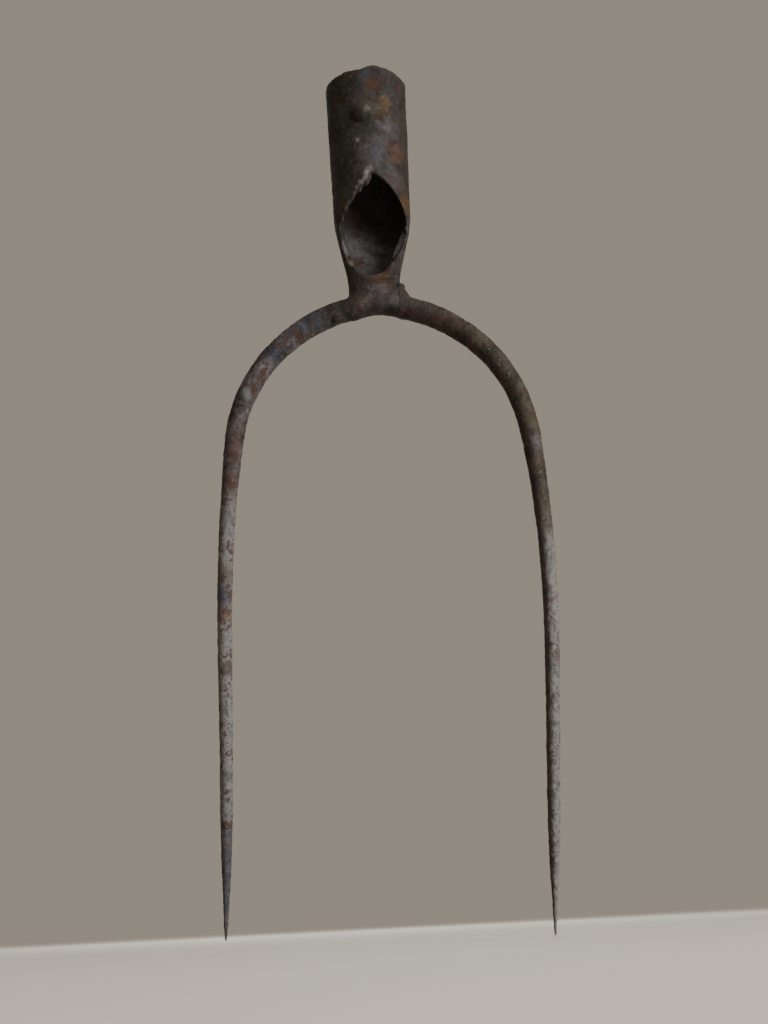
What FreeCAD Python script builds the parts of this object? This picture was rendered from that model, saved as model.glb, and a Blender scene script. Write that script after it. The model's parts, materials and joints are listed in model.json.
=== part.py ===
"""Head of a hand-forged two-tine fork.

A rolled socket takes the wooden handle. Its solid neck is fire-welded to two round tines that arch
out to either side, run down side by side and end in drawn points. One rivet holds the handle.

The origin is the centre of the socket's mouth. +Z runs along the socket and out of the mouth, +X runs
across the tines towards the right one, and +Y points to the back, away from the open throat.
All sizes are in millimetres and degrees.
"""

import FreeCAD, Part
import math
import os

# Socket: a plate rolled round the handle, thick at the mouth and thinner towards the throat.
BORE_RADIUS = 15.0
BORE_LENGTH = 64.0
MOUTH_WALL = 3.4
THROAT_WALL = 2.2
RIM_PEAK_HEIGHT = 2.0  # the worn rim stands highest a little right of its middle
RIM_PEAK_X = 6.5
RIM_PEAK_HALF_WIDTH = 6.0
RIM_LEFT_HEIGHT = 0.0
RIM_RIGHT_HEIGHT = -1.8

# Throat: below the bore the plate closes in to a solid neck. The hollow ends on a ledge, and a scooped
# run-out leads from there down to the neck's front.
THROAT_LENGTH = 24.0
THROAT_SIDE_WALL = 3.1
LEDGE_DEPTH_RADIUS = 6.2
RUNOUT_RADIUS = 8.9
RUNOUT_DROP = 6.0  # from the ledge down to where the run-out leaves the neck
RUNOUT_X = -0.5
NECK_LENGTH = 10.0
NECK_HALF_WIDTH = 11.6
NECK_HALF_DEPTH = 7.0
NECK_BACKSET = 4.5  # the neck lies behind the socket's axis
NECK_SIDE_SHIFT = -1.1  # and a little to the left of it

# Window: the pear-shaped gap in front, where the plate's edges part above the throat.
WINDOW_APEX_X = 3.0
WINDOW_APEX_RISE = 13.0  # above the end of the bore
WINDOW_BELLY_DROP = 3.5  # below the end of the bore
WINDOW_RIGHT_REACH = 0.4  # the belly's right edge lies this far outside the bore's radius
WINDOW_LEFT_MARGIN = 2.6  # and its left edge this far inside it
WINDOW_BULGE = 2.3  # how far an edge bows out from a straight line
WINDOW_TORN_BULGE = -0.7  # the torn upper left edge bows in a little instead
WINDOW_SILL_INSET = 0.4
WINDOW_BACK_Y = 0.0  # the window's side edges face forward in this plane

# Tines: each leaves the crotch almost level and turns down in one shoulder arc. Its shank bends a little
# more in its upper stretch, and its lower stretch is nearly straight.
CROTCH_DROP = 7.2  # from the foot of the neck down to the tines' common centre
TINE_ROOT_START = 12.0  # from the crotch's centre to the face where a tine begins
TINE_SWEEP = 28.0  # how far the points lie behind the crotch
RIGHT_ROOT_SLOPE = 8.3
RIGHT_SHOULDER_RADIUS = 73.9
RIGHT_SHOULDER_TURN = 75.5
RIGHT_UPPER_LENGTH = 95.5
RIGHT_UPPER_TURN = 10.4
RIGHT_LOWER_LENGTH = 113.0
RIGHT_LOWER_TURN = 0.0
LEFT_ROOT_SLOPE = -1.8
LEFT_SHOULDER_RADIUS = 65.7
LEFT_SHOULDER_TURN = 83.8
LEFT_UPPER_LENGTH = 94.0
LEFT_UPPER_TURN = 6.3
LEFT_LOWER_LENGTH = 119.0
LEFT_LOWER_TURN = -3.0

# Tine diameters, from the root to the point.
ROOT_DIAMETER = 10.8
SHOULDER_DIAMETER = 8.6
SHANK_DIAMETER = 7.2
LOWER_DIAMETER = 5.4
TIP_DIAMETER = 1.2
HEEL_LENGTH = 28.0  # below the shoulder the bar thins to the shank over this length
POINT_LENGTH = 48.0
POINT_FULLNESS = 1.35  # above 1 the point is fuller than a straight cone

# Weld: the lapped ends of both tines and the neck, hammered into one lump.
WELD_END_SWELL = 0.2
WELD_HALF_HEIGHT = 5.6
WELD_HALF_DEPTH = 6.3
WELD_NOTCH_X = 0.0
WELD_NOTCH_RISE = 1.2  # the lump's underside is notched up where the two arcs meet
FOOT_FLARE = 1.1
FOOT_SINK = 6.0
FOOT_HALF_DEPTH = 5.6

# Rivet: a domed head outside, and a shank broken off flush with the bore.
RIVET_DEPTH = 21.8
RIVET_X = 0.0
RIVET_HEAD_DIAMETER = 9.2
RIVET_HEAD_HEIGHT = 3.0
RIVET_SHANK_DIAMETER = 5.0
RIVET_CLEARANCE = 0.05

# Sections that shape the throat's outside and its hollow, and the spacing of those along a tine.
OUTSIDE_STEPS = 6
HOLLOW_STEPS = 4
SECTION_SPACING = 12.5

# How far every cut runs on past the faces that it removes.
OVERCUT = 12.0

SOCKET_RADIUS = BORE_RADIUS + MOUTH_WALL
WAIST_RADIUS = BORE_RADIUS + THROAT_WALL
LEDGE_Z = -(BORE_LENGTH + THROAT_LENGTH)
NECK_Z = LEDGE_Z - NECK_LENGTH
CROTCH_Z = NECK_Z - CROTCH_DROP

X_AXIS = FreeCAD.Vector(1, 0, 0)
Y_AXIS = FreeCAD.Vector(0, 1, 0)
Z_AXIS = FreeCAD.Vector(0, 0, 1)


def ease(share):
    """A smooth step from 0 to 1, level at both ends."""
    return share * share * (3 - 2 * share)


def blend(start, end, share):
    return start + (end - start) * share


def oval(centre, normal, first, first_radius, second_radius):
    """A closed ellipse or circle. first_radius lies along the direction first."""
    second = normal.cross(first)
    if abs(first_radius - second_radius) < 1e-6:
        curve = Part.Circle(centre, normal, first_radius)
    elif first_radius > second_radius:
        curve = Part.Ellipse(centre + first * first_radius, centre + second * second_radius, centre)
    else:
        curve = Part.Ellipse(centre + second * second_radius, centre - first * first_radius, centre)
    return Part.Wire([curve.toShape()])


def ring(z, half_width, half_depth, offset_share):
    """A level section of the socket at height z, part of the way from the bore's axis to the neck's."""
    centre = FreeCAD.Vector(NECK_SIDE_SHIFT * offset_share, NECK_BACKSET * offset_share, z)
    return oval(centre, Z_AXIS, X_AXIS, half_width, half_depth)


# ---- Socket


def throat_share(z):
    """How far the outside has closed in from the waist to the neck at height z."""
    return ease((-BORE_LENGTH - z) / (THROAT_LENGTH + NECK_LENGTH))


def throat_outside(z):
    """Half width, half depth and offset share of the outside between the bore and the neck."""
    share = throat_share(z)
    half_width = blend(WAIST_RADIUS, NECK_HALF_WIDTH, share)
    half_depth = blend(WAIST_RADIUS, NECK_HALF_DEPTH, share)
    return half_width, half_depth, share


def socket_outside():
    """The socket's outer body with nothing cut from it yet."""
    top = RIM_PEAK_HEIGHT + OVERCUT
    slope = (SOCKET_RADIUS - WAIST_RADIUS) / BORE_LENGTH
    barrel = Part.makeCone(
        WAIST_RADIUS,
        WAIST_RADIUS + slope * (BORE_LENGTH + top),
        BORE_LENGTH + top,
        FreeCAD.Vector(0, 0, -BORE_LENGTH),
        Z_AXIS,
    )
    rings = []
    for step in range(OUTSIDE_STEPS + 1):
        z = blend(-BORE_LENGTH, NECK_Z, step / OUTSIDE_STEPS)
        rings.append(ring(z, *throat_outside(z)))
    throat = Part.makeLoft(rings, True, False)
    return barrel.fuse(throat)


def socket_hollow():
    """The straight bore and the hollow that narrows below it to the ledge."""
    top = RIM_PEAK_HEIGHT + OVERCUT
    bore = Part.makeCylinder(BORE_RADIUS, BORE_LENGTH + top, FreeCAD.Vector(0, 0, -BORE_LENGTH), Z_AXIS)
    ledge_width, _, ledge_offset = throat_outside(LEDGE_Z)
    ledge_half_width = ledge_width - THROAT_SIDE_WALL
    rings = []
    for step in range(HOLLOW_STEPS + 1):
        share = ease(step / HOLLOW_STEPS)
        z = blend(-BORE_LENGTH, LEDGE_Z, step / HOLLOW_STEPS)
        half_width = blend(BORE_RADIUS, ledge_half_width, share)
        half_depth = blend(BORE_RADIUS, LEDGE_DEPTH_RADIUS, share)
        rings.append(ring(z, half_width, half_depth, ledge_offset * share))
    return bore.fuse(Part.makeLoft(rings, True, False))


def bowed_edge(start, end, bulge):
    """An arc from start to end whose middle stands off the straight line by bulge, to its left."""
    along = end - start
    across = FreeCAD.Vector(-along.z, 0, along.x)
    across.normalize()
    return Part.Arc(start, (start + end) * 0.5 + across * bulge, end).toShape()


def window_cutter():
    """A prism with the pear-shaped outline of the window, from in front back to the side edges."""
    front = -(SOCKET_RADIUS + OVERCUT)
    ledge_width, _, ledge_offset = throat_outside(LEDGE_Z)
    sill = ledge_width - THROAT_SIDE_WALL - WINDOW_SILL_INSET
    sill_x = NECK_SIDE_SHIFT * ledge_offset
    belly_z = -BORE_LENGTH - WINDOW_BELLY_DROP
    apex = FreeCAD.Vector(WINDOW_APEX_X, front, WINDOW_APEX_RISE - BORE_LENGTH)
    right = FreeCAD.Vector(BORE_RADIUS + WINDOW_RIGHT_REACH, front, belly_z)
    left = FreeCAD.Vector(WINDOW_LEFT_MARGIN - BORE_RADIUS, front, belly_z)
    sill_right = FreeCAD.Vector(sill_x + sill, front, LEDGE_Z)
    sill_left = FreeCAD.Vector(sill_x - sill, front, LEDGE_Z)
    outline = [
        bowed_edge(apex, right, WINDOW_BULGE),
        bowed_edge(right, sill_right, WINDOW_BULGE),
        Part.LineSegment(sill_right, sill_left).toShape(),
        bowed_edge(sill_left, left, WINDOW_BULGE),
        bowed_edge(left, apex, WINDOW_TORN_BULGE),
    ]
    return Part.Face(Part.Wire(outline)).extrude(Y_AXIS * (WINDOW_BACK_Y - front))


def runout_cutter():
    """A round bar that slants from the ledge's back edge down and out through the neck's front."""
    _, _, ledge_offset = throat_outside(LEDGE_Z)
    end_z = LEDGE_Z - RUNOUT_DROP
    _, end_half_depth, end_offset = throat_outside(end_z)
    floor_start = FreeCAD.Vector(RUNOUT_X, NECK_BACKSET * ledge_offset + LEDGE_DEPTH_RADIUS, LEDGE_Z)
    floor_end = FreeCAD.Vector(RUNOUT_X, NECK_BACKSET * end_offset - end_half_depth, end_z)
    along = floor_end - floor_start
    across = along.cross(X_AXIS)
    across.normalize()
    return Part.makeCylinder(RUNOUT_RADIUS, 2 * along.Length, floor_start + across * RUNOUT_RADIUS, along)


def rim_cutter():
    """Everything above the worn rim, which rises to a low peak right of its middle."""
    reach = SOCKET_RADIUS + OVERCUT
    top = RIM_PEAK_HEIGHT + 2 * OVERCUT
    corners = [
        FreeCAD.Vector(-reach, -reach, RIM_LEFT_HEIGHT),
        FreeCAD.Vector(RIM_PEAK_X - RIM_PEAK_HALF_WIDTH, -reach, RIM_LEFT_HEIGHT),
        FreeCAD.Vector(RIM_PEAK_X, -reach, RIM_PEAK_HEIGHT),
        FreeCAD.Vector(reach, -reach, RIM_RIGHT_HEIGHT),
        FreeCAD.Vector(reach, -reach, top),
        FreeCAD.Vector(-reach, -reach, top),
    ]
    outline = Part.makePolygon(corners + corners[:1])
    return Part.Face(outline).extrude(Y_AXIS * (2 * reach))


def rivet_axis_point(y):
    return FreeCAD.Vector(RIVET_X, y, -RIVET_DEPTH)


def make_socket():
    rivet_hole = Part.makeCylinder(
        RIVET_SHANK_DIAMETER / 2 + RIVET_CLEARANCE,
        SOCKET_RADIUS + OVERCUT,
        rivet_axis_point(0),
        Y_AXIS * -1,
    )
    body = socket_outside()
    for cutter in (socket_hollow(), window_cutter(), runout_cutter(), rim_cutter(), rivet_hole):
        body = body.cut(cutter)
    return body


# ---- Rivet


def make_rivet():
    """A domed head on the socket's outside, with a shank that stops level with the bore."""
    head_radius = RIVET_HEAD_DIAMETER / 2
    seat_y = -(SOCKET_RADIUS - (SOCKET_RADIUS - WAIST_RADIUS) * RIVET_DEPTH / BORE_LENGTH)
    dome_radius = (head_radius**2 + RIVET_HEAD_HEIGHT**2) / (2 * RIVET_HEAD_HEIGHT)
    dome_centre = rivet_axis_point(seat_y - RIVET_HEAD_HEIGHT + dome_radius)
    dome = Part.makeSphere(dome_radius, dome_centre)
    head_bar = Part.makeCylinder(head_radius, -seat_y + OVERCUT, rivet_axis_point(0), Y_AXIS * -1)
    head = head_bar.common(dome).cut(socket_outside())
    shank = Part.makeCylinder(
        RIVET_SHANK_DIAMETER / 2,
        -seat_y + RIVET_HEAD_HEIGHT / 2,
        rivet_axis_point(0),
        Y_AXIS * -1,
    )
    bore = Part.makeCylinder(BORE_RADIUS, BORE_LENGTH, FreeCAD.Vector(0, 0, -BORE_LENGTH), Z_AXIS)
    return head.fuse(shank.cut(bore))


# ---- Tines


class Tine:
    """One tine's route: a shoulder arc, then the upper and the lower stretch of the shank."""

    def __init__(self, side, root_slope, shoulder, upper, lower):
        """shoulder is a radius and a turn, and the two stretches are a length and a turn each."""
        shoulder_radius, shoulder_turn = shoulder
        self.side = side  # 1 for the right tine and -1 for the left one
        self.root_angle = -math.radians(root_slope)
        self.shoulder_length = shoulder_radius * math.radians(shoulder_turn)
        self.arcs = ((self.shoulder_length, shoulder_turn), upper, lower)
        self.length = self.shoulder_length + upper[0] + lower[0]
        full_drop = shoulder_radius + upper[0] + lower[0]
        self.sweep_radius = (full_drop**2 + TINE_SWEEP**2) / (2 * TINE_SWEEP)

    def station(self, travel):
        """Centre and heading at the distance travel from the crotch's centre."""
        x = 0.0
        z = CROTCH_Z
        angle = self.root_angle
        for arc_length, arc_turn in self.arcs:
            part = min(travel, arc_length)
            turned = math.radians(arc_turn) * part / arc_length
            chord = part if turned == 0 else 2 * math.sin(turned / 2) * part / turned
            x += chord * math.cos(angle - turned / 2)
            z += chord * math.sin(angle - turned / 2)
            angle -= turned
            travel -= part
        drop = max(CROTCH_Z - z, 0.0)
        y = NECK_BACKSET + self.sweep_radius - math.sqrt(self.sweep_radius**2 - drop**2)
        lean = math.asin(drop / self.sweep_radius)
        heading = FreeCAD.Vector(
            self.side * math.cos(angle),
            -math.tan(lean) * math.sin(angle),
            math.sin(angle),
        )
        heading.normalize()
        return FreeCAD.Vector(self.side * x, y, z), heading

    def radius(self, travel):
        """The tine thins through its shoulder and shank, then is drawn out to a point."""
        shank_end = self.length - POINT_LENGTH
        if travel >= shank_end:
            share = (travel - shank_end) / POINT_LENGTH
            return blend(LOWER_DIAMETER, TIP_DIAMETER, share**POINT_FULLNESS) / 2
        stations = (
            (0.0, ROOT_DIAMETER),
            (self.shoulder_length, SHOULDER_DIAMETER),
            (self.shoulder_length + HEEL_LENGTH, SHANK_DIAMETER),
            (shank_end, LOWER_DIAMETER),
        )
        for (start, wide), (end, narrow) in zip(stations, stations[1:]):
            if travel <= end:
                return blend(wide, narrow, (travel - start) / (end - start)) / 2

    def solid(self):
        count = math.ceil((self.length - TINE_ROOT_START) / SECTION_SPACING)
        sections = []
        for index in range(count + 1):
            travel = blend(TINE_ROOT_START, self.length, index / count)
            centre, heading = self.station(travel)
            sections.append(Part.Wire([Part.Circle(centre, heading, self.radius(travel)).toShape()]))
        return Part.makeLoft(sections, True, False)


# ---- Weld


def make_weld(left_tine, right_tine):
    """The lump between the two tine roots, with a foot that takes the neck."""
    end_radius = ROOT_DIAMETER / 2 + WELD_END_SWELL
    middle = FreeCAD.Vector(WELD_NOTCH_X, NECK_BACKSET, CROTCH_Z + WELD_NOTCH_RISE)
    left_root, left_heading = left_tine.station(TINE_ROOT_START)
    right_root, right_heading = right_tine.station(TINE_ROOT_START)
    sections = (
        (left_root, left_heading * -1, end_radius, end_radius),
        (middle, X_AXIS, WELD_HALF_HEIGHT, WELD_HALF_DEPTH),
        (right_root, right_heading, end_radius, end_radius),
    )
    wires = []
    for centre, normal, half_height, half_depth in sections:
        up = normal.cross(Y_AXIS)
        up.normalize()
        wires.append(oval(centre, normal, up, half_height, half_depth))
    bar = Part.makeLoft(wires, True, False)
    neck_ring = ring(NECK_Z, NECK_HALF_WIDTH, NECK_HALF_DEPTH, 1)
    foot_ring = ring(NECK_Z - FOOT_SINK, NECK_HALF_WIDTH + FOOT_FLARE, FOOT_HALF_DEPTH, 1)
    foot = Part.makeLoft([neck_ring, foot_ring], True, False)
    for tine in (left_tine, right_tine):
        foot = foot.cut(tine.solid())
    return bar.fuse(foot)


def main():
    left_tine = Tine(
        -1,
        LEFT_ROOT_SLOPE,
        (LEFT_SHOULDER_RADIUS, LEFT_SHOULDER_TURN),
        (LEFT_UPPER_LENGTH, LEFT_UPPER_TURN),
        (LEFT_LOWER_LENGTH, LEFT_LOWER_TURN),
    )
    right_tine = Tine(
        1,
        RIGHT_ROOT_SLOPE,
        (RIGHT_SHOULDER_RADIUS, RIGHT_SHOULDER_TURN),
        (RIGHT_UPPER_LENGTH, RIGHT_UPPER_TURN),
        (RIGHT_LOWER_LENGTH, RIGHT_LOWER_TURN),
    )
    nodes = {
        "socket": make_socket(),
        "crotch_weld": make_weld(left_tine, right_tine),
        "left_tine": left_tine.solid(),
        "right_tine": right_tine.solid(),
        "handle_rivet": make_rivet(),
    }
    os.makedirs("parts", exist_ok=True)
    for name, shape in nodes.items():
        box = shape.BoundBox
        shape.exportStep(f"parts/{name}.step")
        print(
            f"{name}: {len(shape.Solids)} solid, valid {shape.isValid()}, {shape.Volume / 1000:.2f} cm3, "
            f"x {box.XMin:.1f} to {box.XMax:.1f}, y {box.YMin:.1f} to {box.YMax:.1f}, "
            f"z {box.ZMin:.1f} to {box.ZMax:.1f}"
        )


main()
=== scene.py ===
# %% [markdown]
# # The head of a hand-forged fork
# A smith rolled a plate into a socket, drew two round tines out of bar, lapped their ends over the
# socket's neck and hammered the hot lap into one lump. Since then it has rusted all over.
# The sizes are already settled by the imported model, which this lesson loads first and never moves.
# Everything made here is that same head with its hammer marks, its worn edges and its rust.

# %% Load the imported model
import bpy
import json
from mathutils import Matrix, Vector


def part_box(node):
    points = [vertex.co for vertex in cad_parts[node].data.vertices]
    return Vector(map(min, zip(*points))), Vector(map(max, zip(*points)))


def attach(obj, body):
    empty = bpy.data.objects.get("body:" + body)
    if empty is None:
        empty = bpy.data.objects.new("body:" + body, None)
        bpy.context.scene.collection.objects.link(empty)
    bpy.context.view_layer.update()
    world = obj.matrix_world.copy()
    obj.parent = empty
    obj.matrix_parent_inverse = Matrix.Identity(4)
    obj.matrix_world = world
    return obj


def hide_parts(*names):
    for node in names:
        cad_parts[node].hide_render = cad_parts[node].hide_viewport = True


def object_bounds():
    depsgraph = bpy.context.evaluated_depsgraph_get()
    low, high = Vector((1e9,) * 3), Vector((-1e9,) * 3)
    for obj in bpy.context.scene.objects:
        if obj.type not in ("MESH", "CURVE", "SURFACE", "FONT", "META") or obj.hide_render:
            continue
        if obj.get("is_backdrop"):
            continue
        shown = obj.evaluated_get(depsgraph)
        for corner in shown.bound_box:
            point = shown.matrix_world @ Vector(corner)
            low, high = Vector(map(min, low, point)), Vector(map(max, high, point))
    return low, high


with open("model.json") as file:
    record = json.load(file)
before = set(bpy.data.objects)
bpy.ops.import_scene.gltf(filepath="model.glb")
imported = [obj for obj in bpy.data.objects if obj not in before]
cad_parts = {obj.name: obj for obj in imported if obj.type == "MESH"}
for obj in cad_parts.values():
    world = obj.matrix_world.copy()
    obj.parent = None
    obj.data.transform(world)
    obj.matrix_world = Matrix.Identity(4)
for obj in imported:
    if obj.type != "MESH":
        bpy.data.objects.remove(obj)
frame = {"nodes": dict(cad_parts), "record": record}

cad_low, cad_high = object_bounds()
print("model box in mm", [round(1000 * v) for v in (cad_high - cad_low)])

# %% Modules and one unit
import json
import math

import bmesh
import bpy
import numpy as np
from mathutils import Euler, Matrix, Vector, noise

MM = 0.001


def mm(x, y, z):
    """A place given in millimetres, as the metres that Blender works in."""
    return Vector((x, y, z)) * MM


# %% [markdown]
# ## The camera
# The head is seen from in front, from the right and from well below its mouth, so the rim shows as
# an arch and the throat opening shows its dark inside. A camera is easiest to read as a place, a
# point that it looks at and a small roll about that line, so those three are the values here.

# %% Camera
CAMERA_PLACE = mm(81, -600, -370)
CAMERA_AIM = mm(-1.3, 0, -202)
CAMERA_ROLL = math.radians(-2.9)
CAMERA_LENS = 52.0

camera_data = bpy.data.cameras.new("camera")
camera_data.lens = CAMERA_LENS
camera = bpy.data.objects.new("camera", camera_data)
bpy.context.scene.collection.objects.link(camera)
level_view = (CAMERA_AIM - CAMERA_PLACE).to_track_quat("-Z", "Y").to_matrix().to_4x4()
camera.matrix_world = Matrix.Translation(CAMERA_PLACE) @ level_view @ Matrix.Rotation(CAMERA_ROLL, 4, "Z")
bpy.context.scene.camera = camera
print("camera is", round((CAMERA_AIM - CAMERA_PLACE).length, 3), "m from what it looks at")

# %% [markdown]
# ## Shader maths as plain Python
# A rust finish is mostly arithmetic on noise. Wiring Math nodes by hand hides that, so one small
# class wraps a socket and turns +, - and * into Math nodes, in either order. Every other node
# comes from one method that is told its type, its settings and what feeds its sockets.

# %% A socket that does arithmetic
class Sock:
    """A node's output that can be added, subtracted and multiplied like a number."""

    def __init__(self, finish, output):
        self.finish = finish
        self.output = output

    def math(self, operation, first, second):
        return self.finish.node("ShaderNodeMath", {"operation": operation}, {0: first, 1: second})

    def __add__(self, other):
        return self.math("ADD", self, other)

    def __sub__(self, other):
        return self.math("SUBTRACT", self, other)

    def __rsub__(self, other):
        return self.math("SUBTRACT", other, self)

    def __mul__(self, other):
        return self.math("MULTIPLY", self, other)

    __radd__ = __add__
    __rmul__ = __mul__

    def rise(self, low, high):
        """A smooth step: 0 below low and 1 above high."""
        settings = {"interpolation_type": "SMOOTHSTEP"}
        return self.finish.node("ShaderNodeMapRange", settings, {"Value": self, 1: low, 2: high})


# %% A material that makes its own nodes
class Finish:
    """A material under construction. Places in its textures are the head's own, in metres."""

    # Mix has sockets for each kind of value under the same names, so its colour ones go by number.
    MIX_FACTOR, MIX_UNDER, MIX_OVER, MIX_RESULT = 0, 6, 7, 2
    TEAR = 5.0  # how far noise moves a patch's edge, as a share of its radius

    def __init__(self, name):
        self.material = bpy.data.materials.new(name)
        self.material.use_nodes = True
        self.tree = self.material.node_tree
        self.shader = self.tree.nodes["Principled BSDF"]
        self.place = self.node("ShaderNodeTexCoord", output="Object")

    def node(self, kind, settings=None, inputs=None, output=0):
        made = self.tree.nodes.new(kind)
        for name, value in (settings or {}).items():
            setattr(made, name, value)
        for key, value in (inputs or {}).items():
            if isinstance(value, Sock):
                self.tree.links.new(value.output, made.inputs[key])
            else:
                made.inputs[key].default_value = value
        return Sock(self, made.outputs[output])

    def noise(self, size, detail=3.0, roughness=0.55, stretch=(1, 1, 1), seed=0.0):
        """Noise whose blotches are about size millimetres across, from 0 to 1."""
        mapping = {"Location": (seed, seed, seed), "Scale": stretch}
        place = self.node("ShaderNodeMapping", None, {"Vector": self.place, **mapping})
        inputs = {"Vector": place, "Scale": 1 / (size * MM), "Detail": detail, "Roughness": roughness}
        return self.node("ShaderNodeTexNoise", None, inputs)

    def cells(self, size, seed=0.0):
        """Distance from the nearest of many scattered points, which are about size mm apart."""
        place = self.node("ShaderNodeMapping", None, {"Vector": self.place, "Location": (seed, seed, seed)})
        return self.node("ShaderNodeTexVoronoi", None, {"Vector": place, "Scale": 1 / (size * MM)})

    def mix(self, under, over, mask):
        """Colour over laid on colour under where mask is 1."""
        inputs = {self.MIX_FACTOR: mask, self.MIX_UNDER: under, self.MIX_OVER: over}
        return self.node("ShaderNodeMix", {"data_type": "RGBA"}, inputs, self.MIX_RESULT)

    def near(self, centre, radius, ragged, edge):
        """1 inside a ball about centre and 0 outside, with its edge torn by the noise ragged."""
        distance = self.node("ShaderNodeVectorMath", {"operation": "DISTANCE"}, {0: self.place, 1: centre}, 1)
        torn = distance + (ragged - 0.5) * (radius * self.TEAR)
        return 1 - torn.rise(radius * (1 - edge), radius * (1 + edge))

    def axis(self, letter):
        return self.node("ShaderNodeSeparateXYZ", None, {0: self.place}, output=letter)

    def wire(self, **feeds):
        """Links sockets of the shader, named with _ for a space."""
        for name, value in feeds.items():
            self.tree.links.new(value.output, self.shader.inputs[name.replace("_", " ")])


def tint(red, green, blue):
    return (red, green, blue, 1.0)


# %% [markdown]
# ## Floor and light
# A pale, plain floor lies level under the points. One soft lamp stands in front to the right, so
# each tine is lit on its right side and dark on its left. A weaker one behind keeps the back readable,
# a wide dim sky evens out the floor, and the warm grey surroundings open the shadows a little. A lamp
# shaped as a ball lights the floor evenly on all sides, where a flat panel would draw an edge on it.

# %% Floor
FLOOR_DROP = 0.0004
FLOOR_HALF = 30.0

floor_mesh = bpy.data.meshes.new("floor")
floor_z = cad_low.z - FLOOR_DROP
corners = [(x, y, floor_z) for x, y in ((-1, -1), (1, -1), (1, 1), (-1, 1))]
corners = [(x * FLOOR_HALF, y * FLOOR_HALF, z) for x, y, z in corners]
floor_mesh.from_pydata(corners, [], [(0, 1, 2, 3)])
floor = bpy.data.objects.new("floor", floor_mesh)
bpy.context.scene.collection.objects.link(floor)
floor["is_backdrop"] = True

paint = Finish("floor_paint")
mottle = paint.noise(240, detail=2)
pale = tint(0.42, 0.38, 0.32)
paler = tint(0.45, 0.41, 0.35)
paint.wire(Base_Color=paint.mix(pale, paler, mottle))
paint.shader.inputs["Roughness"].default_value = 0.9
floor_mesh.materials.append(paint.material)

# %% Lamps
def soft_lamp(name, place, radius, power, colour):
    """A glowing ball at place. The larger its radius, the softer its shadows."""
    data = bpy.data.lights.new(name, "POINT")
    data.shadow_soft_size = radius
    data.energy = power
    data.color = colour
    lamp = bpy.data.objects.new(name, data)
    lamp.location = place
    bpy.context.scene.collection.objects.link(lamp)


soft_lamp("side_lamp", mm(800, -600, -20), 0.32, 55.0, (1.0, 0.985, 0.96))
soft_lamp("back_lamp", mm(-200, 1150, 350), 0.40, 36.0, (0.94, 0.97, 1.0))

# %% Sky and surroundings
sky_data = bpy.data.lights.new("overhead", "SUN")
sky_data.energy = 1.3
sky_data.angle = math.radians(60)
overhead = bpy.data.objects.new("overhead", sky_data)
overhead.rotation_euler = Vector((0.35, -0.3, 1.0)).to_track_quat("Z", "Y").to_euler()
bpy.context.scene.collection.objects.link(overhead)

world = bpy.data.worlds.new("surroundings")
world.use_nodes = True
world.node_tree.nodes["Background"].inputs["Color"].default_value = (0.46, 0.405, 0.335, 1.0)
world.node_tree.nodes["Background"].inputs["Strength"].default_value = 0.66
bpy.context.scene.world = world

# %% [markdown]
# ## From a clean model to forged metal
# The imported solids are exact, and forged iron isn't. The way to loosen them without losing their
# size is to treat them as clay: copy them into one block, press small lumps on where the smith left
# some, and remesh the block into even cells. Lapped pieces then flow into each other as a weld does.
# Building each piece by hand would fit the model less well, and its joints would show as creases.

# %% Clay block
CELL = 0.55 * MM  # about a fifth of the socket's wall


def press_lump(block, place, radii, turn=(0, 0, 0)):
    """Adds an egg-shaped lump. Its radii are in millimetres and its turn in degrees."""
    turned = Euler([math.radians(angle) for angle in turn]).to_quaternion()
    shape = Matrix.LocRotScale(place, turned, Vector(radii) * MM)
    bmesh.ops.create_icosphere(block, subdivisions=3, radius=1, matrix=shape)


def clay_from(nodes, name, cell, lumps=()):
    """Copies of the model's nodes and the lumps, remeshed together into one even skin."""
    block = bmesh.new()
    for node in nodes:
        block.from_mesh(frame["nodes"][node].data)
    for lump in lumps:
        press_lump(block, *lump)
    mesh = bpy.data.meshes.new(name)
    block.to_mesh(mesh)
    block.free()
    clay = bpy.data.objects.new(name, mesh)
    bpy.context.scene.collection.objects.link(clay)
    remesh = clay.modifiers.new("even_cells", "REMESH")
    remesh.mode = "VOXEL"
    remesh.voxel_size = cell
    skin = bpy.data.meshes.new_from_object(clay.evaluated_get(bpy.context.evaluated_depsgraph_get()))
    bpy.data.objects.remove(clay)
    print(name, "has", len(skin.vertices), "points")
    return skin


# %% [markdown]
# ### Lumps the smith left
# The plate's upper left edge is torn, so a row of thin burrs lines the opening there, each leaning
# its own way along the edge. The lap at the crotch shows as a swelling on each root, with a small ear
# of plate standing off the neck on the right. Each is a small egg pressed into the clay before it is
# remeshed, because a lump then grows out of the iron instead of lying on it.

# %% Burrs and laps
BORE_RADIUS = frame["record"]["mounts"][0]["dims"]["r_mm"]
WALL_MIDDLE = BORE_RADIUS + 1.3
BURR_THICKNESS = 0.9
print("the bore is", 2 * BORE_RADIUS, "mm across")


def on_front_wall(x, z, radius=WALL_MIDDLE):
    """The point of the socket's front wall that lies at x and z."""
    return mm(x, -math.sqrt(radius**2 - x**2), z)


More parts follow.
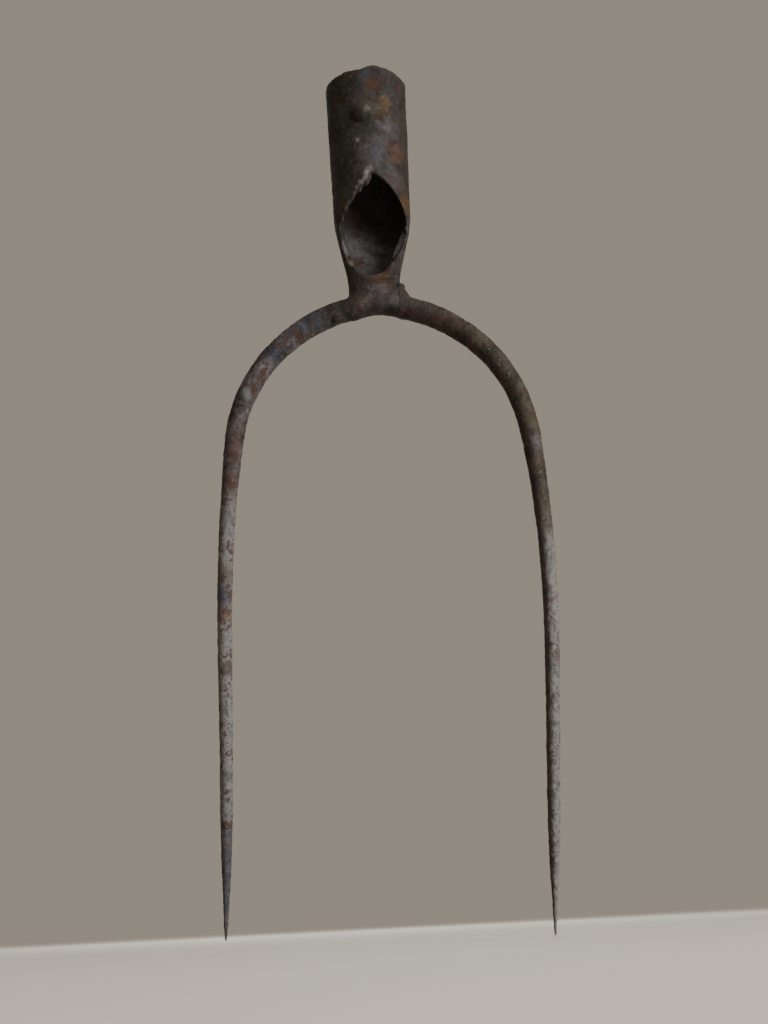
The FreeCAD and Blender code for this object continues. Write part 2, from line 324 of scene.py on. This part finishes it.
TORN_EDGE = (
    # x, z, half length, half width, lean
    (1.8, -53.6, 1.9, 1.1, -62),
    (0.9, -55.4, 1.9, 1.2, -80),
    (-1.4, -56.2, 1.8, 1.2, -45),
    (-2.7, -58.4, 1.9, 1.3, -75),
    (-4.6, -59.3, 1.7, 1.1, -40),
    (-6.2, -61.6, 1.9, 1.1, -60),
    (-8.0, -63.2, 1.7, 1.2, -35),
    (-9.6, -65.6, 1.7, 1.0, -65),
    (-11.7, -69.2, 1.9, 0.9, -80),
)
burrs = []
for x, z, half_length, half_width, lean in TORN_EDGE:
    facing = math.degrees(math.asin(x / WALL_MIDDLE))
    burrs.append((on_front_wall(x, z), (half_length, BURR_THICKNESS, half_width), (0, lean, facing)))

LAPS = [
    # place, radii in mm, turn in degrees
    (mm(11.0, 2.8, -98.6), (2.3, 3.4, 1.7), (0, -25, 0)),  # the ear of plate
    (mm(10.0, 3.4, -102.6), (4.6, 5.4, 3.6), (0, 20, 0)),
    (mm(-11.8, 3.6, -104.4), (4.6, 4.6, 3.4), (0, -24, 0)),
    (mm(0.5, 0.4, -102.5), (7.5, 2.6, 3.0), (0, 6, 0)),
    (mm(-19.5, 3.0, -108.3), (5.2, 4.2, 4.0), (0, -8, 0)),
    (mm(-17.5, 1.5, -112.2), (2.4, 2.6, 1.1), (0, -14, 0)),
]
forging = ["socket", "crotch_weld", "left_tine", "right_tine"]
head_skin = clay_from(forging, "head_clay", CELL, burrs + LAPS)

# %% [markdown]
# ### Dents, scale and pits
# Forged iron has detail at three sizes. Hammer faces leave shallow flats about a centimetre wide,
# rust scale stands off in scabs of a few millimetres, and pits are about a millimetre. All of them
# are heights on one smooth noise, added up and pushed out along the surface.

# %% Reading and writing points
def points_of(mesh):
    """The mesh's points in millimetres."""
    flat = np.empty(len(mesh.vertices) * 3)
    mesh.vertices.foreach_get("co", flat)
    return flat.reshape(-1, 3) / MM


def normals_of(mesh):
    flat = np.empty(len(mesh.vertices) * 3)
    mesh.vertices.foreach_get("normal", flat)
    return flat.reshape(-1, 3)


def set_points(mesh, points):
    mesh.vertices.foreach_set("co", (points * MM).ravel())
    mesh.update()


def grain(points, size, seed):
    """Smooth noise from about -1 to 1 whose bumps are about size millimetres wide."""
    shifted = points / size + seed * 17.3
    return np.array([noise.noise(point) for point in shifted.tolist()])


def step(values, low, high):
    """A smooth step from 0 below low to 1 above high."""
    share = np.clip((values - low) / (high - low), 0, 1)
    return share * share * (3 - 2 * share)


def bump(distance, width):
    """1 at distance 0, fading to nothing over about twice the width."""
    return np.exp(-((distance / width) ** 2))


# %% Softening a joint
def relax(mesh, weight, rounds):
    """Draws each point towards the middle of its neighbours, as far as its weight from 0 to 1 lets it."""
    ends = np.empty(len(mesh.edges) * 2, dtype=int)
    mesh.edges.foreach_get("vertices", ends)
    first, second = ends.reshape(-1, 2).T
    points = points_of(mesh)
    count = np.bincount(ends, minlength=len(points))[:, None]
    for _ in range(rounds):
        total = np.zeros_like(points)
        np.add.at(total, first, points[second])
        np.add.at(total, second, points[first])
        points += (total / count - points) * 0.5 * weight[:, None]
    set_points(mesh, points)


CROTCH_ROUNDS = 14
SKIN_ROUNDS = 2
SKIN_WEIGHT = 0.5

start = points_of(head_skin)
across, _, up = start.T
crotch = step(-np.abs(across), -24, -17) * step(-up, 84, 88) * step(up, -122, -116)
relax(head_skin, crotch, CROTCH_ROUNDS)
relax(head_skin, np.full(len(start), SKIN_WEIGHT), SKIN_ROUNDS)
print("softened", int((crotch > 0.5).sum()), "points about the crotch")

# %% Hammering and rusting
def hammered(points, flats, scabs, pits):
    """How far the surface stands out, in millimetres, for three depths of wear."""
    height = flats * (grain(points, 9.0, 1) + 0.5 * grain(points, 4.5, 2))
    scale_noise = grain(points, 3.1, 3) + 0.55 * grain(points, 1.5, 4)
    height += scabs * (step(scale_noise, 0.0, 0.28) - 0.5)
    height -= pits * step(grain(points, 1.7, 5) + 0.4 * grain(points, 6.0, 6), 0.25, 0.6)
    return height


points = points_of(head_skin)
x, y, z = points.T
around = np.hypot(x, y)
on_socket = step(z, -90, -80)
outside = on_socket * step(around, BORE_RADIUS + 0.9, BORE_RADIUS + 1.6)
thin_wall = 1 - on_socket * (1 - outside) * 0.75
height = hammered(points, flats=0.15, scabs=0.12, pits=0.16) * thin_wall

print("walls are moved by up to", round(float(np.abs(height[outside > 0.5]).max()), 2), "mm outside")

# %% [markdown]
# The neck shows a line where the lap was closed over it, from the ear towards the left. The rim is
# uneven, so its points also move up and down a little.

# %% Lap line and worn rim
LAP_Z = -97.0
LAP_DEPTH = 0.75
LAP_WIDTH = 0.9
RIM_WEAR = 0.55
RIM_NICKS = 0.18

lap_z = LAP_Z + 0.10 * x + 0.7 * grain(points * (1, 0, 0), 6.0, 8)
on_lap = step(-np.abs(x - 4.0), -9.5, -6.0) * step(-y, -4.0, 0.0) * step(-z, 92, 94)
height -= LAP_DEPTH * on_lap * bump(z - lap_z, LAP_WIDTH)

normals = normals_of(head_skin)
points += normals * height[:, None]
rim = step(z, -5.0, -0.5) * on_socket
round_the_rim = points * (1, 1, 0)
worn = RIM_WEAR * grain(round_the_rim, 6.5, 9) + RIM_NICKS * grain(round_the_rim, 2.4, 10)
points[:, 2] += rim * worn
set_points(head_skin, points)
print("surface moved by up to", round(float(np.abs(height).max()), 2), "mm")

# %% [markdown]
# ### One piece for each part
# The block is cut back into the pieces that the head was made from, along planes through the ends
# of each part's box in the model. Each cut is closed with a flat face, so every piece is a whole solid
# on its own.

# %% Cutting the pieces
def cut_piece(skin, name, planes):
    """The part of the skin behind every plane, closed where it was cut."""
    block = bmesh.new()
    block.from_mesh(skin)
    for place, outward in planes:
        everything = block.verts[:] + block.edges[:] + block.faces[:]
        cut = bmesh.ops.bisect_plane(
            block, geom=everything, plane_co=place, plane_no=outward, clear_outer=True
        )
        edge_loop = [item for item in cut["geom_cut"] if isinstance(item, bmesh.types.BMEdge)]
        bmesh.ops.holes_fill(block, edges=edge_loop)
        for edge in edge_loop:
            edge.smooth = False
    return as_piece(block, name)


def as_piece(block, name):
    """A smooth-shaded object that rides on the head's one body and stands for its own node."""
    for face in block.faces:
        face.smooth = True
    mesh = bpy.data.meshes.new(name + "_forged")
    block.to_mesh(mesh)
    block.free()
    piece = bpy.data.objects.new(name + "_forged", mesh)
    bpy.context.scene.collection.objects.link(piece)
    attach(piece, "root")
    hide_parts(name)
    print(piece.name, "has", len(mesh.polygons), "faces")
    return piece


neck_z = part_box("socket")[0].z
left_root_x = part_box("left_tine")[1].x
right_root_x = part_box("right_tine")[0].x
at_neck = Vector((0, 0, neck_z))
at_left_root = Vector((left_root_x, 0, 0))
at_right_root = Vector((right_root_x, 0, 0))
UP = Vector((0, 0, 1))
RIGHT = Vector((1, 0, 0))

socket = cut_piece(head_skin, "socket", [(at_neck, -UP)])
weld = cut_piece(head_skin, "crotch_weld", [(at_neck, UP), (at_left_root, -RIGHT), (at_right_root, RIGHT)])
left_tine = cut_piece(head_skin, "left_tine", [(at_neck, UP), (at_left_root, RIGHT)])
right_tine = cut_piece(head_skin, "right_tine", [(at_neck, UP), (at_right_root, -RIGHT)])

# %% [markdown]
# ### The rivet
# A domed head beaten over by hand, a little flat on its crown and spread unevenly at its edge.
# It is small, so its clay has finer cells, and its dents are as wide as a light hammer's face.

# %% Rivet
RIVET_CELL = 0.22 * MM
rivet_skin = clay_from(["handle_rivet"], "rivet_clay", RIVET_CELL)
points = points_of(rivet_skin)
relax(rivet_skin, np.full(len(points), 0.6), 3)
points = points_of(rivet_skin)
proud = step(-points[:, 1], 18.0, 18.8)
dents = 0.22 * grain(points, 2.6, 11) + 0.10 * grain(points, 1.1, 12)
points += normals_of(rivet_skin) * (proud * dents)[:, None]
set_points(rivet_skin, points)
rivet = cut_piece(rivet_skin, "handle_rivet", [])

# %% [markdown]
# ## Rust
# The same iron runs through every piece, so one function lays the coats and each piece only adds
# its own patches. From the bottom up they are dark scale, a thicker and paler scale, the patches,
# red-brown rust, painted shade on the side turned from the lamp, pale flakes and dark pits. Each coat
# is the coat under it mixed with one more colour by a mask made from noise, which is easier to steer
# than one picture of rust would be.

# %% Colours of iron and rust
# The pit colour also paints the rivet's shadow, and the pale flake colour also paints highlights on the rivet
# and the torn edge.
PIT_AND_SHADOW = tint(0.004, 0.003, 0.0025)
DARK_SCALE = tint(0.011, 0.009, 0.006)
SOCKET_SCALE = tint(0.023, 0.0195, 0.018)
OLIVE_SCALE = tint(0.040, 0.033, 0.022)
LILAC_SCALE = tint(0.080, 0.071, 0.077)
DRY_SCALE = tint(0.158, 0.154, 0.155)
PALE_FLAKE_AND_HIGHLIGHT = tint(0.200, 0.178, 0.165)
BLUE_GREY = tint(0.030, 0.033, 0.047)
BROWN_RUST = tint(0.044, 0.021, 0.014)
ORANGE = tint(0.085, 0.033, 0.010)
OCHRE = tint(0.090, 0.043, 0.008)
GREEN_GREY = tint(0.050, 0.050, 0.034)

# %% Coats of rust
# Faces turned this way, away from the lamp, get the painted shade.
TO_THE_LEFT = (-0.96, -0.28, 0.0)
DRY_FADE = 45.0  # mm over which the iron turns from dark to dry
PATCH_EDGE = 0.5  # the soft part of a patch's edge, as a share of its radius
CROTCH_SCALE_ENDS, OWN_SCALE_STARTS = 14.0, 34.0  # mm to either side of the crotch
RUST_SPECULAR = 0.25  # half of the usual value, because rust is dull
BUMP_STRENGTH = 0.5
BUMP_DEPTH = 1.0 * MM


def lay_rust(name, scale, rust, dry_from=None, painted_shade=0.0, patches=(), flaked=0.15):
    """The rusted finish. scale is the colour of its thicker scale away from the crotch, rust is how much
    of it has gone red, dry_from is the height in mm where it turns dry and pale, the fifth value is how
    far its left side, turned from the lamp, is darkened as painted shade, each patch is a place, a
    radius in mm, a colour and a strength, and flaked is how much the pale flakes show."""
    finish = Finish(name)
    finish.shader.inputs["Specular IOR Level"].default_value = RUST_SPECULAR
    broad = finish.noise(11.0, 4, 0.55)
    scab = finish.noise(5.0, 4, 0.55, seed=3.1)
    spot = finish.noise(2.2, 4, 0.6, seed=5.7)
    fine = finish.noise(0.8, 3, 0.6, seed=8.3)
    from_crotch = finish.node("ShaderNodeMath", {"operation": "ABSOLUTE"}, {0: finish.axis("X")})
    scale = finish.mix(SOCKET_SCALE, scale, from_crotch.rise(CROTCH_SCALE_ENDS * MM, OWN_SCALE_STARTS * MM))
    colour = finish.mix(DARK_SCALE, scale, (broad * 0.65 + spot * 0.35).rise(0.38, 0.60))
    if dry_from is not None:
        height = finish.axis("Z") + (broad - 0.5) * 0.05
        dry = 1 - height.rise((dry_from - DRY_FADE) * MM, dry_from * MM)
        blotched = 0.35 + (scab * 0.5 + spot * 0.5).rise(0.38, 0.56) * 0.65
        colour = finish.mix(colour, DRY_SCALE, dry * blotched)
    for place, radius, tone, strength in patches:
        mask = finish.near(place, radius * MM, scab * 0.5 + spot * 0.5, PATCH_EDGE) * strength
        colour = finish.mix(colour, tone, mask * (0.5 + spot.rise(0.35, 0.6) * 0.5))
    red = (scab * 0.6 + spot * 0.4).rise(0.52, 0.58)
    colour = finish.mix(colour, BROWN_RUST, red * rust)
    # Painted shade: faces turned to the left, away from the lamp, are darkened in the colour itself.
    if painted_shade:
        outward = finish.node("ShaderNodeNewGeometry", output="Normal")
        ends = {0: outward, 1: TO_THE_LEFT}
        facing = finish.node("ShaderNodeVectorMath", {"operation": "DOT_PRODUCT"}, ends, 1)
        side = (facing + (spot - 0.5) * 0.5).rise(0.05, 0.75)
        painted_shade_colour = finish.mix(DARK_SCALE, BROWN_RUST, broad.rise(0.4, 0.6) * 0.6)
        colour = finish.mix(colour, painted_shade_colour, side * painted_shade)
    colour = finish.mix(colour, PALE_FLAKE_AND_HIGHLIGHT, (spot * 0.5 + fine * 0.5).rise(0.57, 0.66) * flaked)
    holes = 1 - (finish.cells(3.0, 1.9) + (fine - 0.5) * 0.35).rise(0.08, 0.22)
    holes = holes * broad.rise(0.42, 0.58)
    colour = finish.mix(colour, PIT_AND_SHADOW, holes * 0.7)
    relief = broad * 0.4 + scab * 0.7 + spot * 0.5 + fine * 0.3 - holes * 0.5
    bumps = {"Strength": BUMP_STRENGTH, "Distance": BUMP_DEPTH, "Height": relief}
    normal = finish.node("ShaderNodeBump", None, bumps)
    finish.wire(Base_Color=colour, Roughness=0.64 + scab.rise(0.4, 0.65) * 0.28, Normal=normal)
    return finish


def give(piece, finish):
    piece.data.materials.clear()
    piece.data.materials.append(finish.material)
    print(piece.name, "wears", finish.material.name, "with", len(finish.tree.nodes), "nodes")


# %% [markdown]
# ### Where the colour changes
# The colour changes from place to place: ochre beside the rivet, orange-brown on the socket's right
# side, a smooth grey area above the opening, and a frayed edge at its left that is pale partly from
# wear and partly as a painted highlight where the edge catches the lamp. Each is one patch, a ball
# with a torn edge at a given place, and the frayed edge is a row of small ones.

# %% Socket finish
SOCKET_FACE = BORE_RADIUS + 3.0  # close to the wall's outside
# Pale patches along the torn edge, partly worn metal and partly a painted highlight where the edge catches
# the lamp.
TORN_LINE_WEAR_AND_HIGHLIGHT = (
    # x, z, radius, strength
    (2.6, -49.8, 1.4, 0.55),
    (1.2, -51.8, 1.5, 0.6),
    (0.4, -54.0, 1.2, 0.45),
    (-1.8, -55.4, 1.3, 0.5),
    (-3.6, -57.8, 1.1, 0.35),
    (-5.4, -60.2, 1.1, 0.4),
    (-8.4, -63.2, 1.0, 0.3),
    (-11.6, -68.0, 1.1, 0.3),
)
socket_patches = [
    # place, radius in mm, colour, strength
    (on_front_wall(2.5, -4, SOCKET_FACE), 3.6, BLUE_GREY, 0.5),
    (on_front_wall(5.5, -8, SOCKET_FACE), 2.8, ORANGE, 0.7),
    (on_front_wall(10.2, -16, SOCKET_FACE), 2.7, OCHRE, 0.6),
    (on_front_wall(9.6, -21, SOCKET_FACE), 2.4, OCHRE, 0.45),
    (on_front_wall(4.5, -20, SOCKET_FACE), 4.5, GREEN_GREY, 0.6),
    (on_front_wall(11.5, -29, SOCKET_FACE), 5.0, LILAC_SCALE, 0.5),
    (on_front_wall(3.5, -41, SOCKET_FACE), 6.0, LILAC_SCALE, 0.35),
    (on_front_wall(6.5, -41, SOCKET_FACE), 3.5, BLUE_GREY, 0.6),
    (on_front_wall(14.5, -40, SOCKET_FACE), 4.6, ORANGE, 0.45),
    (on_front_wall(-2.5, -35, SOCKET_FACE), 1.1, PALE_FLAKE_AND_HIGHLIGHT, 0.4),
    (on_front_wall(12.0, -55, SOCKET_FACE), 5.0, LILAC_SCALE, 0.4),
    (on_front_wall(-12.0, -64, SOCKET_FACE), 2.6, OCHRE, 0.5),
    (mm(-14.2, -1, -70), 2.2, DRY_SCALE, 0.35),
    (mm(-13.4, 0, -76), 2.2, DRY_SCALE, 0.4),
    (mm(-12.2, 0, -81), 2.2, DRY_SCALE, 0.4),
    (mm(-10.6, 0, -86), 2.4, DRY_SCALE, 0.35),
    (mm(16.8, -5, -62), 4.5, OCHRE, 0.5),
    (mm(15.5, -4, -75), 4.5, LILAC_SCALE, 0.6),
    (mm(-7, 11, -74), 8.0, DRY_SCALE, 0.35),
    (mm(2, 8, -84), 9.0, LILAC_SCALE, 0.85),
    (mm(3, -3, -95), 4.0, OCHRE, 0.4),
]
for x, z, radius, strength in TORN_LINE_WEAR_AND_HIGHLIGHT:
    socket_patches.append((on_front_wall(x, z, SOCKET_FACE), radius, PALE_FLAKE_AND_HIGHLIGHT, strength))
give(socket, lay_rust("socket_rust", SOCKET_SCALE, rust=0.5, patches=socket_patches))

# %% [markdown]
# The tines turn pale and dry towards their points. The left one has blue-grey scale on its shoulder
# and its point, and the right one has an even olive skin on its shoulder. Both are darker on their
# left sides, turned from the lamp, as painted shade, the right one more.

# %% Weld, tine and rivet finishes
weld_patches = [
    # place, radius in mm, colour, strength
    (mm(3, -2, -101), 6.0, LILAC_SCALE, 0.6),
    (mm(-3, -3, -106), 4.0, LILAC_SCALE, 0.5),
    (mm(10, -2, -104), 4.0, LILAC_SCALE, 0.6),
    (mm(-7, 0, -104), 4.0, OCHRE, 0.2),
    (mm(2.5, -2, -106), 3.0, BLUE_GREY, 0.7),
]
give(weld, lay_rust("weld_rust", SOCKET_SCALE, rust=0.5, patches=weld_patches))

left_patches = [
    # place, radius in mm, colour, strength
    (mm(-28, -4, -112), 6.0, BLUE_GREY, 1.0),
    (mm(-37, -4, -116), 5.5, BLUE_GREY, 1.0),
    (mm(-42, -4, -119), 2.6, PALE_FLAKE_AND_HIGHLIGHT, 0.5),
    (mm(-47, -3, -124), 5.5, BLUE_GREY, 1.0),
    (mm(-54, -3, -127), 2.4, OCHRE, 0.9),
    (mm(-34, -4, -111), 3.0, DRY_SCALE, 0.4),
    (mm(-52, -3, -131), 4.5, DRY_SCALE, 0.5),
    (mm(-58, -3, -140), 5.0, DRY_SCALE, 0.6),
    (mm(-63, -2, -158), 4.5, BROWN_RUST, 0.7),
    (mm(-66, 0, -166), 5.0, BROWN_RUST, 0.8),
    (mm(-68, 2, -182), 5.0, BROWN_RUST, 0.9),
    (mm(-74, 8, -222), 5.0, BROWN_RUST, 0.8),
    (mm(-74, 8, -231), 4.5, BLUE_GREY, 1.0),
    (mm(-74, 9, -239), 3.5, ORANGE, 0.8),
    (mm(-74, 12, -262), 3.5, BROWN_RUST, 0.9),
    (mm(-76, 26, -330), 8.0, BLUE_GREY, 0.9),
    (mm(-78, 28, -344), 12.0, BLUE_GREY, 1.0),
    (mm(-80, 31, -362), 12.0, BLUE_GREY, 1.0),
]
TINE_FLAKES = 0.35
# Its fifth value, 0.4, darkens the tine's left side as painted shade.
left_rust = lay_rust("left_tine_rust", LILAC_SCALE, 0.85, -165, 0.4, left_patches, TINE_FLAKES)
give(left_tine, left_rust)

right_patches = [
    # place, radius in mm, colour, strength
    (mm(25, -4, -107), 3.0, ORANGE, 0.6),
    (mm(38, -4, -112), 3.4, ORANGE, 0.5),
    (mm(48, -4, -123), 3.4, OCHRE, 0.6),
    (mm(56, -4, -134), 7.0, DARK_SCALE, 0.75),
    (mm(68, -1, -156), 8.0, OLIVE_SCALE, 0.8),
    (mm(69, 0, -176), 6.0, LILAC_SCALE, 0.8),
    (mm(70, 1, -190), 3.5, BROWN_RUST, 0.9),
    (mm(66, 14, -266), 4.0, BROWN_RUST, 0.9),
    (mm(62, 20, -305), 3.5, BROWN_RUST, 0.8),
    (mm(57, 26, -348), 2.5, BROWN_RUST, 1.0),
]
# Its fifth value, 0.85, darkens the tine's left side as painted shade.
right_rust = lay_rust("right_tine_rust", OLIVE_SCALE, 0.6, -192, 0.85, right_patches, TINE_FLAKES)
give(right_tine, right_rust)

rivet_patches_and_painted_light = [
    # place, radius in mm, colour, strength
    # Painted shadow on the rivet's lower left, the side turned from the lamp.
    (mm(-1.5, -20, -24), 3.2, PIT_AND_SHADOW, 0.7),
    # Painted highlight on the rivet's right, where the lamp falls.
    (mm(3.0, -20, -21), 1.6, PALE_FLAKE_AND_HIGHLIGHT, 0.4),
    (mm(3.5, -18, -18.5), 2.0, GREEN_GREY, 0.8),
]
give(rivet, lay_rust("rivet_rust", SOCKET_SCALE, rust=0.4, patches=rivet_patches_and_painted_light))

# %% [markdown]
# ## Last checks
# The finished pieces are measured against the model's box, and how far they stand out of it along
# each axis is printed. The finished pieces have to stay in the model's box.

# %% Compare the sizes and finish
low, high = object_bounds()
growth = [round(1000 * max(cad_low[i] - low[i], high[i] - cad_high[i]), 2) for i in range(3)]
print("stands proud of the model by, in mm along x, y and z", growth)
